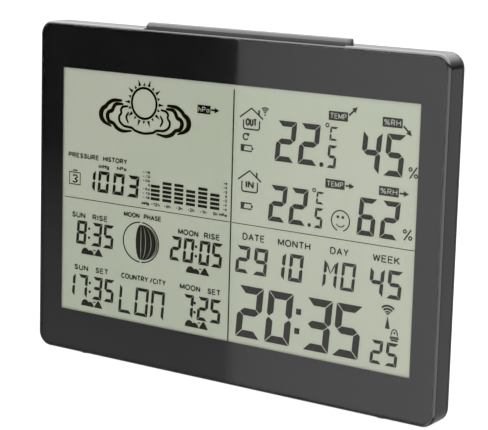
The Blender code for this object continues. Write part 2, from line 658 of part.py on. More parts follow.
def contact(name, side, low, high, spring_height=None):
    """A sheet contact on the left (side -1) or right (side 1) end wall, with a conical spring if asked."""
    faces = sorted((side * CONTACT_FACE, side * (CONTACT_FACE + 0.4)))
    plate = block(name, faces, (CELL_Y - 4.5, CELL_Y + 4.5), (low, high), 1.0, 2, "X")
    if spring_height is not None:
        turns = 3
        per_turn = 8
        count = turns * per_turn
        reach = BAY_HALF_WIDTH * 2 - 2 * (BAY_HALF_WIDTH - CONTACT_FACE) - GAP - CELL_LENGTH - 1.2
        points = []
        for i in range(count + 1):
            share = i / count
            radius = 4.0 - 1.5 * share
            angle = 2 * pi * i / per_turn
            points.append((side * (CONTACT_FACE - reach * share), CELL_Y + radius * cos(angle),
                           spring_height + radius * sin(angle)))
        fuse(plate, wire(name + "_spring", points, 0.4))
    finish(plate, (0.8, 0.8, 0.78), 0.25, 1.0)


def make_contacts():
    upper, middle, lower = CELL_HEIGHTS
    contact("battery_contact_positive", 1, upper - 5, upper + 5)
    contact("battery_bridge_left", -1, middle - 5, upper + 5, upper)
    contact("battery_bridge_right", 1, lower - 5, middle + 5, middle)
    contact("battery_contact_negative", -1, lower - 5, lower + 5, lower)


make_front_case()
make_front_lens()
make_rear_case()
make_case_screws()
make_feet()
make_battery_door()
make_stand_leg()
make_snooze_bar()
make_rear_buttons()
make_key_switches()
make_key_board()
make_display()
make_main_board()
make_board_parts()
make_buzzer()
make_dc_jack()
make_cells()
make_contacts()
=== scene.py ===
"""Looks for the home weather station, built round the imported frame.

Lengths are written in millimetres and turned into metres by mm(). The frame's y runs backwards
from the front face and z runs up from the table. Display artwork is written in the display's own
coordinates: u runs right and v runs down from the top left corner of the window.
"""

from math import cos, hypot, pi, radians, sin, sqrt, tan

import bmesh
import bpy
from mathutils import Matrix, Vector


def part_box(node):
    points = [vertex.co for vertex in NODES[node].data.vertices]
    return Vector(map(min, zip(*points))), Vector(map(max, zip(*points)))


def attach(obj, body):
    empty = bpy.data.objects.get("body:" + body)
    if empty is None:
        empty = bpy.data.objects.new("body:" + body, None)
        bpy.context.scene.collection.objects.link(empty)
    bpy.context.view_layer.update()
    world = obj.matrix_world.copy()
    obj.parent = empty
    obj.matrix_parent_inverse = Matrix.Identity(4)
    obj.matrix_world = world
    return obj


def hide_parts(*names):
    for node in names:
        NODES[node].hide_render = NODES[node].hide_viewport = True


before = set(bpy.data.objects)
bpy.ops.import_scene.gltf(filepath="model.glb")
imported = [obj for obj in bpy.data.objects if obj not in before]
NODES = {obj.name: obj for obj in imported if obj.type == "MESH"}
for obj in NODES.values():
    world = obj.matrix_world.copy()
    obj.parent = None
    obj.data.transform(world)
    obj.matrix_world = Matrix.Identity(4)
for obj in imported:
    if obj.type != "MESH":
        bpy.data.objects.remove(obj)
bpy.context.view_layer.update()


def mm(value):
    """Millimetres as metres."""
    return value * 0.001


CASE_LOW, CASE_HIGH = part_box("front_case")
LENS_LOW, LENS_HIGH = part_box("front_lens")
FRONT = CASE_LOW.y
REAR_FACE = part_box("rear_case")[1].y
PANEL_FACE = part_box("lcd_panel")[0].y
BAR_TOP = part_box("snooze_bar")[1].z

CORNER_RADIUS = mm(6.5)
CORNER_STEPS = 14

# Display window in the lens's black border
WINDOW_HALF_WIDTH = mm(93.5)
WINDOW_LOW = mm(19.9)
WINDOW_HIGH = mm(133.7)

# The long key on the top edge, as (x, y) seen from above
BAR_MIDDLE = Vector((mm(5.2), FRONT + mm(4.9)))
BAR_HALF = Vector((mm(52.9), mm(2.5)))
BAR_CORNER = mm(1.7)
BAR_RELIEF = mm(0.4)


# ---------------------------------------------------------------- materials

# How far a plastic's colour strays to either side of its own
UNEVENNESS = 0.15


class Graph:
    """A node tree being wired up. A socket takes a constant or the output of another node."""

    def __init__(self, tree):
        self.nodes, self.links = tree.nodes, tree.links

    def feed(self, socket, value):
        if isinstance(value, bpy.types.NodeSocket):
            self.links.new(value, socket)
        else:
            socket.default_value = value

    def set(self, node, **inputs):
        """Feeds the node's sockets by name, spaces written as underscores."""
        for key, value in inputs.items():
            self.feed(node.inputs[key.replace("_", " ")], value)
        return node

    def add(self, kind, **inputs):
        return self.set(self.nodes.new(kind), **inputs)

    def math(self, operation, *values):
        node = self.add("ShaderNodeMath")
        node.operation = operation
        for socket, value in zip(node.inputs, values):
            self.feed(socket, value)
        return node.outputs[0]

    def coordinates(self, kind):
        return self.add("ShaderNodeTexCoord").outputs[kind]

    def split(self, vector):
        return self.add("ShaderNodeSeparateXYZ", Vector=vector).outputs

    def noise(self, scale, detail=3.0, roughness=0.5):
        return self.add("ShaderNodeTexNoise", Vector=self.coordinates("Object"), Scale=scale, Detail=detail,
                        Roughness=roughness).outputs["Fac"]

    def ramp(self, source, dark, light, low=0.3, high=0.7):
        """The colour dark below low, light above high, blended between."""
        node = self.add("ShaderNodeValToRGB", Fac=source)
        first, last = node.color_ramp.elements
        first.position, first.color = low, (*dark, 1)
        last.position, last.color = high, (*light, 1)
        return node.outputs["Color"]

    def spread(self, source, start, end, low=0.0, high=1.0, smooth=False):
        """source, from low to high, mapped to start..end."""
        node = self.add("ShaderNodeMapRange", Value=source, From_Min=low, From_Max=high,
                        To_Min=start, To_Max=end)
        node.interpolation_type = "SMOOTHSTEP" if smooth else "LINEAR"
        return node.outputs["Result"]

    def curve(self, source, points):
        """source, from 0 to 1, through straight stretches between the points."""
        node = self.add("ShaderNodeFloatCurve", Value=source)
        track = node.mapping.curves[0]
        track.points[0].location = points[0]
        track.points[1].location = points[-1]
        for point in points[1:-1]:
            track.points.new(*point)
        for point in track.points:
            point.handle_type = "VECTOR"
        node.mapping.update()
        return node.outputs["Value"]

    def relief(self, height, strength, distance=mm(0.1)):
        bump = self.add("ShaderNodeBump", Strength=strength, Distance=distance, Height=height)
        return bump.outputs["Normal"]


def new_material(name):
    """A material, its graph and its Principled shader."""
    material = bpy.data.materials.new(name)
    material.use_nodes = True
    graph = Graph(material.node_tree)
    return material, graph, graph.nodes["Principled BSDF"]


def plastic(name, colour, roughness, grain_scale=9000.0, grain=0.06, specular=0.5):
    """Moulded plastic: a fine grain in relief, slightly uneven colour and cloudy roughness."""
    material, graph, shader = new_material(name)
    darker = tuple(channel * (1 - UNEVENNESS) for channel in colour)
    lighter = tuple(min(1, channel * (1 + UNEVENNESS)) for channel in colour)
    graph.set(shader, Specular_IOR_Level=specular,
              Base_Color=graph.ramp(graph.noise(60.0, 4.0), darker, lighter),
              Roughness=graph.spread(graph.noise(25.0, 5.0, 0.6), roughness * 0.85, roughness * 1.2),
              Normal=graph.relief(graph.noise(grain_scale, 2.0), grain))
    return material


def metal(name, colour, roughness):
    """Plated metal with fine scratches."""
    material, graph, shader = new_material(name)
    tarnished = tuple(channel * 0.75 for channel in colour)
    scratches = graph.noise(3000.0, 2.0)
    graph.set(shader, Metallic=1.0,
              Base_Color=graph.ramp(graph.noise(400.0, 4.0), colour, tarnished, high=0.75),
              Roughness=graph.spread(scratches, roughness * 0.7, roughness * 1.4),
              Normal=graph.relief(scratches, 0.1, mm(0.05)))
    return material


def rubber(name, colour):
    return plastic(name, colour, 0.8, 5000.0, 0.3, specular=0.25)


def glazing(name, dark, light, ior, smooth, rough):
    """Clear sheet, tinted between two colours. Its outer faces mirror by Fresnel, smooth to rough."""
    material, graph, shader = new_material(name)
    graph.nodes.remove(shader)
    through = graph.add("ShaderNodeBsdfTransparent", Color=graph.ramp(graph.noise(12.0), dark, light))
    shine = graph.add("ShaderNodeBsdfGlossy", Color=(1, 1, 1, 1),
                      Roughness=graph.spread(graph.noise(18.0, 6.0, 0.65), smooth, rough))
    fresnel = graph.add("ShaderNodeFresnel", IOR=ior).outputs[0]
    inner = graph.add("ShaderNodeNewGeometry").outputs["Backfacing"]
    share = graph.math("MULTIPLY", fresnel, graph.math("SUBTRACT", 1.0, inner))
    mix = graph.add("ShaderNodeMixShader", Fac=share)
    graph.feed(mix.inputs[1], through.outputs[0])
    graph.feed(mix.inputs[2], shine.outputs[0])
    graph.set(graph.nodes["Material Output"], Surface=mix.outputs[0])
    return material


def display_ground():
    """Grey-green reflector of the display, with the sparkle of its film."""
    material, graph, shader = new_material("display_ground")
    sparkle = graph.noise(6000.0, 1.0)
    graph.set(shader, Roughness=0.6, Specular_IOR_Level=0.2, Normal=graph.relief(sparkle, 0.08),
              Base_Color=graph.ramp(sparkle, (0.455, 0.465, 0.4), (0.491, 0.499, 0.435)))
    return material


def circuit_board(name, mask, copper):
    """Solder mask over copper tracks, which show through a little lighter and raised."""
    material, graph, shader = new_material(name)
    upright = graph.add("ShaderNodeMapping", Vector=graph.coordinates("Object"), Rotation=(radians(90), 0, 0))
    tracks = graph.add("ShaderNodeTexBrick", Vector=upright.outputs[0], Scale=220.0, Mortar_Size=0.14)
    tracks.offset = 0.37
    tracks.squash = 0.6
    raised = tracks.outputs["Fac"]
    graph.set(shader, Roughness=0.32, Base_Color=graph.ramp(raised, mask, copper),
              Normal=graph.relief(raised, 0.3, mm(0.05)))
    return material


def cell_sleeve(name, points_right):
    """A dry cell's printed sleeve: a warm band at the plus end, dark elsewhere, bare metal at both tips."""
    material, graph, shader = new_material(name)
    along = graph.split(graph.coordinates("Generated"))[0]
    if not points_right:
        along = graph.math("SUBTRACT", 1.0, along)
    foot_end, tip_start = 0.012, 0.965
    steel = (0.55, 0.55, 0.53, 1)
    bands = graph.add("ShaderNodeValToRGB", Fac=along)
    bands.color_ramp.interpolation = "CONSTANT"
    elements = bands.color_ramp.elements
    elements[0].position, elements[0].color = 0.0, steel
    elements[1].position, elements[1].color = tip_start, steel
    for position, colour in ((foot_end, (0.02, 0.02, 0.022, 1)), (0.70, (0.45, 0.42, 0.36, 1)),
                             (0.715, (0.5, 0.19, 0.06, 1))):
        elements.new(position).color = colour
    bare = graph.math("MAXIMUM", graph.math("GREATER_THAN", along, tip_start),
                      graph.math("LESS_THAN", along, foot_end))
    graph.set(shader, Roughness=0.28, Base_Color=bands.outputs["Color"], Metallic=bare,
              Normal=graph.relief(graph.noise(2500.0), 0.1, mm(0.05)))
    return material


CASE = plastic("case_plastic", (0.008, 0.008, 0.0084), 0.07, 9000.0, 0.02)
REAR = plastic("rear_plastic", (0.016, 0.016, 0.0165), 0.42, 4000.0, 0.35)
BAR = plastic("bar_plastic", (0.056, 0.056, 0.058), 0.45, 7000.0, 0.12, specular=0.25)
KEYS = plastic("key_plastic", (0.05, 0.05, 0.052), 0.45, 6000.0, 0.15)
PRINT = plastic("border_print", (0.0082, 0.0082, 0.0085), 0.07, 9000.0, 0.02, specular=0.115)
INK = plastic("display_ink", (0.0072, 0.0057, 0.0022), 0.5, 9000.0, 0.02, specular=0.0)
LENS = glazing("clear_acrylic", (0.98, 0.985, 0.98), (0.99, 0.99, 0.99), 1.4, 0.012, 0.03)
GLASS = glazing("display_glass", (0.97, 0.985, 0.96), (0.985, 0.99, 0.975), 1.08, 0.03, 0.06)
GROUND = display_ground()
MARKS = plastic("mark_print", (0.22, 0.22, 0.22), 0.5, 6000.0, 0.15)
FOOT = rubber("foot_rubber", (0.018, 0.018, 0.018))
STEEL = metal("screw_steel", (0.62, 0.62, 0.6), 0.28)


# ---------------------------------------------------------------- mesh helpers

def to_object(name, bm):
    """The bmesh as an object in the scene."""
    mesh = bpy.data.meshes.new(name)
    bm.to_mesh(mesh)
    bm.free()
    piece = bpy.data.objects.new(name, mesh)
    bpy.context.scene.collection.objects.link(piece)
    return piece


def make_piece(name, bm, material, body="root", bevel=0.0, sharp=32):
    """The bmesh as a shown object riding on a CAD body."""
    bmesh.ops.recalc_face_normals(bm, faces=bm.faces)
    piece = to_object(name, bm)
    piece.data.shade_smooth()
    piece.data.set_sharp_from_angle(angle=radians(sharp))
    piece.data.materials.append(material)
    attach(piece, body)
    if bevel:
        soften(piece, bevel)
    return piece


def soften(piece, width):
    """A small round along every sharp edge, with flat faces left flat in shading."""
    step = piece.modifiers.new("edge_round", "BEVEL")
    step.width = width
    step.segments = 2
    step.limit_method = "ANGLE"
    step.angle_limit = radians(40)
    settle_normals(piece)


def settle_normals(piece):
    step = piece.modifiers.new("face_weight", "WEIGHTED_NORMAL")
    step.keep_sharp = True
    step.weight = 80


def ring(x, z, radius, y, steps=CORNER_STEPS):
    """Points round a rounded rectangle at depth y, from (low, high) pairs, anticlockwise from the front."""
    points = []
    centres = [(x[1] - radius, z[0] + radius, -90), (x[1] - radius, z[1] - radius, 0),
               (x[0] + radius, z[1] - radius, 90), (x[0] + radius, z[0] + radius, 180)]
    for cx, cz, start in centres:
        for i in range(steps + 1):
            angle = radians(start + 90 * i / steps)
            points.append(Vector((cx + radius * cos(angle), y, cz + radius * sin(angle))))
    return points


def skin(bm, rings, closed=False):
    """Quads between successive rings; closed joins the last to the first, otherwise both ends are capped."""
    loops = [[bm.verts.new(point) for point in points] for points in rings]
    count = len(loops[0])
    pairs = list(zip(loops, loops[1:]))
    if closed:
        pairs.append((loops[-1], loops[0]))
    for first, second in pairs:
        for i in range(count):
            j = (i + 1) % count
            bm.faces.new((first[i], first[j], second[j], second[i]))
    if not closed:
        bm.faces.new(loops[0])
        bm.faces.new(list(reversed(loops[-1])))


def case_ring(inset, y):
    """A ring that follows the case's outline, inset all round."""
    return ring((CASE_LOW.x + inset, CASE_HIGH.x - inset), (CASE_LOW.z + inset, CASE_HIGH.z - inset),
                max(CORNER_RADIUS - inset, mm(0.2)), y)


def quarter(inset, y, radius, start, end, steps):
    """(inset, y) pairs on an arc about the given centre, angles in degrees from +inset towards +y."""
    angles = [radians(start + (end - start) * i / steps) for i in range(steps + 1)]
    return [(inset + radius * cos(a), y + radius * sin(a)) for a in angles]


def block(bm, x, y, z, corner=mm(0.05)):
    """A closed block between (low, high) pairs, its corners seen from the front rounded."""
    skin(bm, [ring(x, z, corner, depth, steps=5) for depth in y])


def carve(piece, bm):
    """Cuts the bmesh's closed shape out of the piece."""
    bmesh.ops.recalc_face_normals(bm, faces=bm.faces)
    tool = to_object("cutter", bm)
    step = piece.modifiers.new("carve", "BOOLEAN")
    step.operation = "DIFFERENCE"
    step.solver = "EXACT"
    step.object = tool
    bpy.context.view_layer.update()
    evaluated = piece.evaluated_get(bpy.context.evaluated_depsgraph_get())
    mesh = bpy.data.meshes.new_from_object(evaluated)
    piece.modifiers.remove(step)
    old = piece.data
    piece.data = mesh
    bpy.data.meshes.remove(old)
    bpy.data.objects.remove(tool, do_unlink=True)


# ---------------------------------------------------------------- case

def make_front_shell():
    """Side wall and thin front rim, closed behind by the plate that carries the lens."""
    fillet, rear_edge, wall, overlap = mm(1.4), mm(0.18), mm(2.0), mm(1)
    seat = LENS_LOW.x - CASE_LOW.x - mm(0.07)
    plate_front = LENS_HIGH.y + mm(0.3)
    plate_back = plate_front + mm(1.2)
    rim = quarter(fillet, FRONT + fillet, fillet, 180, 258, 7)
    rim += [(seat, rim[-1][1] + mm(0.03)), (seat, plate_front)]
    window = ((-WINDOW_HALF_WIDTH - overlap, WINDOW_HALF_WIDTH + overlap),
              (WINDOW_LOW - overlap, WINDOW_HIGH + overlap))
    inside = [(wall, plate_back), (wall, CASE_HIGH.y)]
    inside += quarter(rear_edge, CASE_HIGH.y - rear_edge, rear_edge, 90, 180, 3)
    bm = bmesh.new()
    skin(bm, [*(case_ring(inset, y) for inset, y in rim),
              *(ring(*window, overlap, y) for y in (plate_front, plate_back)),
              *(case_ring(inset, y) for inset, y in inside)], closed=True)
    shell = make_piece("front_shell", bm, CASE)

    # The key's slot, and the shallow step in front of it
    clearance = mm(0.12)
    bm = bmesh.new()
    skin(bm, [bar_outline(-clearance, CASE_HIGH.z + rise) for rise in (mm(-4), mm(2))])
    carve(shell, bm)
    low, high = BAR_MIDDLE - BAR_HALF, BAR_MIDDLE + BAR_HALF
    end_inset, excess = mm(0.8), mm(1)
    bm = bmesh.new()
    block(bm, (low.x + end_inset, high.x - end_inset), (FRONT - excess, low.y + excess),
          (CASE_HIGH.z - BAR_RELIEF, CASE_HIGH.z + excess))
    carve(shell, bm)
    settle_normals(shell)
    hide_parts("front_case")


def bar_outline(inset, z, side_inset=None):
    """Points round the long key seen from above, drawn in by inset in front and by side_inset elsewhere."""
    side_inset = inset if side_inset is None else side_inset
    radius = BAR_CORNER - side_inset
    middle = BAR_MIDDLE + Vector((0, (inset - side_inset) / 2))
    reach = BAR_HALF - Vector((side_inset + radius, (inset + side_inset) / 2 + radius))
    reach.y = max(reach.y, 0.0)
    points = []
    for sx, sy, start in ((1, -1, -90), (1, 1, 0), (-1, 1, 90), (-1, -1, 180)):
        for i in range(9):
            angle = radians(start + 90 * i / 8)
            points.append(Vector((middle.x + sx * reach.x + radius * cos(angle),
                                  middle.y + sy * reach.y + radius * sin(angle), z)))
    return points


def make_lens():
    """The clear front sheet, with eased edges, and the black border printed on its back."""
    inset = LENS_LOW.x - CASE_LOW.x
    ease = mm(0.15)
    profile = [(ease + inset + mm(0.01), LENS_LOW.y)]
    profile += quarter(inset + ease, LENS_LOW.y + ease, ease, 270, 180, 3)
    profile += [(inset, LENS_HIGH.y)]
    bm = bmesh.new()
    skin(bm, [case_ring(amount, y) for amount, y in profile])
    lens = make_piece("front_window", bm, LENS)
    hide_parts("front_lens")

    window = ((-WINDOW_HALF_WIDTH, WINDOW_HALF_WIDTH), (WINDOW_LOW, WINDOW_HIGH), mm(0.3))
    near = LENS_HIGH.y + mm(0.02)
    far = near + mm(0.06)
    bm = bmesh.new()
    skin(bm, [case_ring(inset, near), ring(*window, near), ring(*window, far), case_ring(inset, far)],
         closed=True)
    make_piece("lens_border_print", bm, PRINT)


def make_bar():
    """The long key on the top edge: upright walls, and a front that slopes back to a flat top."""
    bottom, wall_top = CASE_HIGH.z - mm(2.3), CASE_HIGH.z + mm(1.1)
    front = [(0.0, bottom), (0.0, wall_top - mm(0.15)), (mm(0.03), wall_top), (mm(0.12), wall_top + mm(0.13)),
             (mm(1.2), BAR_TOP - mm(0.22)), (mm(1.45), BAR_TOP - mm(0.07)), (mm(1.75), BAR_TOP)]
    side_share = 0.2
    bm = bmesh.new()
    skin(bm, [bar_outline(inset, z, inset * side_share) for inset, z in front])
    bar = make_piece("light_bar", bm, BAR, body="snooze", sharp=50)
    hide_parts("snooze_bar")


# ---------------------------------------------------------------- display artwork

INK_DEPTH = FRONT + mm(1.72)
INK_THICKNESS = mm(0.05)
INK_SPREAD = 0.22
ART_SCALE_U = 0.9995
ART_SCALE_V = 0.9952
ART_LEFT = -WINDOW_HALF_WIDTH - mm(0.13)
ART_TOP = WINDOW_HIGH - mm(0.26)
SLANT = tan(radians(4.5))
LETTER_GAP = 0.3


def on_display(u, v, y):
    return Vector((ART_LEFT + mm(u) * ART_SCALE_U, y, ART_TOP - mm(v) * ART_SCALE_V))


def prism(bm, outline):
    """A thin closed plate with a convex outline given in (u, v)."""
    depths = (INK_DEPTH, INK_DEPTH + INK_THICKNESS)
    skin(bm, [[on_display(u, v, depth) for u, v in outline] for depth in depths])


def band(bm, left, right, near=INK_DEPTH, closed=False):
    """A thin closed band between two edges, each a list of (u, v)."""
    far = near + INK_THICKNESS
    skin(bm, [[on_display(*a, near), on_display(*b, near), on_display(*b, far), on_display(*a, far)]
              for a, b in zip(left, right)], closed)


def ribbon(bm, points, width, closed=False, near=INK_DEPTH):
    """A line of the given width along (u, v) points; width may be a list, one for each point."""
    count = len(points)
    widths = width if isinstance(width, list) else [width] * count
    left, right = [], []
    for i, (u, v) in enumerate(points):
        before = points[i - 1] if i or closed else points[0]
        after = points[(i + 1) % count] if closed or i < count - 1 else points[-1]
        du, dv = after[0] - before[0], after[1] - before[1]
        length = hypot(du, dv) or 1.0
        half = (widths[i] + INK_SPREAD) / 2
        left.append((u - dv / length * half, v + du / length * half))
        right.append((u + dv / length * half, v - du / length * half))
    band(bm, left, right, near, closed)


def ellipse(cu, cv, ru, rv=None, start=0, end=360, steps=36):
    rv = ru if rv is None else rv
    whole = end - start == 360
    count = steps if whole else steps + 1
    angles = [radians(start + (end - start) * i / steps) for i in range(count)]
    return [(cu + ru * cos(a), cv - rv * sin(a)) for a in angles]


def spline(points, steps=5):
    """A smooth Catmull-Rom line through the points, as (u, v) or (u, v, width)."""
    vectors = [Vector((*point, 0)[:3]) for point in points]
    vectors = [vectors[0] * 2 - vectors[1], *vectors, vectors[-1] * 2 - vectors[-2]]
    line = []
    for a, b, c, d in zip(vectors, vectors[1:], vectors[2:], vectors[3:]):
        for i in range(steps):
            t = i / steps
            line.append(0.5 * (2 * b + (c - a) * t + (2 * a - 5 * b + 4 * c - d) * t ** 2
                               + (3 * b - a - 3 * c + d) * t ** 3))
    line.append(vectors[-2])
    return line


# Segments lit for each figure: a to g as on any seven-segment display, x and y the two strokes inside an M
SEGMENTS = {
    "0": "abcdef", "1": "bc", "2": "abged", "3": "abgcd", "4": "fgbc", "5": "afgcd", "6": "afgedc",
    "7": "abc", "8": "abcdefg", "9": "abcdfg",
    "C": "afed", "L": "fed", "N": "efabc", "O": "abcdef", "M": "efbcxy",
}


def digit(bm, character, right, top, bottom, width, bar):
    """One figure in mitred segments; right is its top right corner, bar the thickness of a segment."""
    bar += INK_SPREAD
    tall = bottom - top
    wide = width - tall * SLANT
    middle = tall / 2
    gap = max(bar * 0.085, 0.13)
    half = bar / 2
    tip = bar * 0.36
    shoulder = bar + gap * 0.6
    shapes = {
        "a": [(gap, 0), (wide - gap, 0), (wide - bar - gap, bar), (bar + gap, bar)],
        "d": [(gap, tall), (bar + gap, tall - bar), (wide - bar - gap, tall - bar), (wide - gap, tall)],
        "f": [(0, gap), (bar, bar + gap), (bar, middle - half - gap), (tip, middle - gap),
              (0, middle - gap - tip)],
        "e": [(0, tall - gap), (0, middle + gap + tip), (tip, middle + gap), (bar, middle + half + gap),
              (bar, tall - bar - gap)],
        "g": [(tip + gap, middle), (shoulder, middle - half), (wide - shoulder, middle - half),
              (wide - tip - gap, middle), (wide - shoulder, middle + half), (shoulder, middle + half)],
        "x": [(bar + gap, bar * 0.8), (wide / 2 - gap, middle - bar * 0.7), (wide / 2 - gap, middle - gap),
              (bar + gap, bar * 1.9)],
    }
    for name, source in (("b", "f"), ("c", "e"), ("y", "x")):
        shapes[name] = [(wide - u, v) for u, v in reversed(shapes[source])]
    left = right - wide
    for key in SEGMENTS[character]:
        prism(bm, [(left + u - v * SLANT, top + v) for u, v in shapes[key]])


def number(bm, text, rights, top, bottom, width, bar):
    """Several figures alike; rights has the top right corner of each."""
    for character, right in zip(text, rights):
        digit(bm, character, right, top, bottom, width, bar)


def dot(bm, u, v, radius, steps=16):
    prism(bm, ellipse(u, v, radius, steps=steps))


def bow(cu, cv, ru, rv, start=0, end=360):
    """A coarse arc, fine enough for a letter."""
    return ellipse(cu, cv, ru, rv, start, end, 16)


# Strokes of each letter in a box one unit high, v downwards; a closed loop repeats its first point
LETTERS = {
    "A": [[(0, 1), (0.36, 0)], [(0.36, 0), (0.72, 1)], [(0.13, 0.66), (0.59, 0.66)]],
    "C": [bow(0.38, 0.5, 0.38, 0.5, 48, 312)],
    "D": [[(0, 0), (0.3, 0), *bow(0.3, 0.5, 0.38, 0.5, 84, -84), (0.3, 1), (0, 1), (0, 0)]],
    "E": [[(0.56, 0), (0, 0), (0, 1), (0.56, 1)], [(0, 0.48), (0.5, 0.48)]],
    "H": [[(0, 0), (0, 1)], [(0.64, 0), (0.64, 1)], [(0, 0.48), (0.64, 0.48)]],
    "I": [[(0, 0), (0, 1)]],
    "K": [[(0, 0), (0, 1)], [(0.58, 0), (0, 0.6)], [(0.22, 0.4), (0.62, 1)]],
    "M": [[(0, 1), (0, 0)], [(0, 0), (0.38, 0.9)], [(0.38, 0.9), (0.76, 0)], [(0.76, 0), (0.76, 1)]],
    "N": [[(0, 1), (0, 0)], [(0, 0), (0.64, 1)], [(0.64, 1), (0.64, 0)]],
    "O": [[*bow(0.4, 0.5, 0.4, 0.5), (0.8, 0.5)]],
    "P": [[(0, 0), (0, 1)],
          [(0, 0), (0.32, 0), *bow(0.32, 0.27, 0.24, 0.27, 84, -84), (0.32, 0.54), (0, 0.54)]],
    "S": [spline([(0.54, 0.18), (0.3, 0), (0.04, 0.22), (0.28, 0.48), (0.56, 0.74), (0.3, 1), (0, 0.8)])],
    "T": [[(0, 0), (0.64, 0)], [(0.32, 0), (0.32, 1)]],
    "U": [[(0, 0), *bow(0.31, 0.68, 0.31, 0.32, 180, 360), (0.62, 0)]],
    "W": [[(0, 0), (0.2, 1)], [(0.2, 1), (0.43, 0.05)], [(0.43, 0.05), (0.66, 1)], [(0.66, 1), (0.86, 0)]],
    "Y": [[(0, 0), (0.32, 0.5)], [(0.64, 0), (0.32, 0.5)], [(0.32, 0.5), (0.32, 1)]],
    "a": [[*bow(0.24, 0.68, 0.24, 0.32), (0.48, 0.68)], [(0.5, 0.36), (0.5, 1)]],
    "g": [[*bow(0.24, 0.64, 0.24, 0.28), (0.48, 0.64)], [(0.5, 0.36), (0.5, 1.1), (0.1, 1.22)]],
    "h": [[(0, 0), (0, 1)], [(0, 0.56), (0.24, 0.38), (0.46, 0.52), (0.46, 1)]],
    "i": [[(0, 0.36), (0, 1)], [(0, 0.02), (0, 0.14)]],
    "n": [[(0, 0.36), (0, 1)], [(0, 0.56), (0.24, 0.38), (0.46, 0.52), (0.46, 1)]],
    "0": [[*bow(0.28, 0.5, 0.28, 0.5), (0.56, 0.5)]],
    "1": [[(0.0, 0.2), (0.2, 0)], [(0.2, 0), (0.2, 1)]],
    "2": [[*bow(0.27, 0.28, 0.27, 0.28, 160, -30), (0, 1)], [(0, 1), (0.56, 1)]],
    "3": [bow(0.26, 0.25, 0.24, 0.25, 150, -90), bow(0.26, 0.75, 0.28, 0.25, 90, -150)],
    "4": [[(0.42, 1), (0.42, 0)], [(0.42, 0), (0, 0.7)], [(0, 0.7), (0.58, 0.7)]],
    "6": [[*bow(0.28, 0.68, 0.27, 0.32), (0.55, 0.68)], [(0.44, 0.02), (0.04, 0.55)]],
    "8": [[*bow(0.28, 0.26, 0.22, 0.26), (0.5, 0.26)], [*bow(0.28, 0.74, 0.28, 0.26), (0.56, 0.74)]],
    "%": [[(0.72, 0), (0.14, 1)], [*bow(0.16, 0.22, 0.16, 0.2), (0.32, 0.22)],
          [*bow(0.7, 0.78, 0.16, 0.2), (0.86, 0.78)]],
    "/": [[(0.42, 0), (0, 1)]],
    "-": [[(0, 0.56), (0.36, 0.56)]],
    "+": [[(0, 0.56), (0.44, 0.56)], [(0.22, 0.32), (0.22, 0.8)]],
    ".": [[(0, 0.88), (0, 1)]],
}
LETTERS["R"] = [*LETTERS["P"], [(0.3, 0.54), (0.6, 1)]]


def lettering(bm, text, u, v, stroke, near=INK_DEPTH):
    """text in plain strokes of the given width, filling the (low, high) ranges u and v."""
    starts, reach = [], 0.0
    for character in text:
        starts.append(reach)
        reach += max(point[0] for line in LETTERS[character] for point in line) + LETTER_GAP
    half = (stroke + INK_SPREAD) / 2
    scale_u = (u[1] - u[0] - 2 * half) / (reach - LETTER_GAP)
    scale_v = v[1] - v[0] - 2 * half
    for start, character in zip(starts, text):
        for line in LETTERS[character]:
            points = [(u[0] + half + (start + across) * scale_u, v[0] + half + down * scale_v)
                      for across, down, *_ in line]
            ribbon(bm, points, stroke, near=near)


def finish_ink(name, bm, material=INK):
    make_piece(name, bm, material)


def draw_dividers():
    bm = bmesh.new()
    prism(bm, [(95.3, 1.8), (95.9, 1.8), (95.9, 115.2), (95.3, 115.2)])
    prism(bm, [(0.9, 60.25), (95.0, 60.25), (95.0, 60.55), (0.9, 60.55)])
    prism(bm, [(96.2, 60.25), (188.0, 60.25), (188.0, 60.55), (96.2, 60.55)])
    finish_ink("display_dividers", bm)


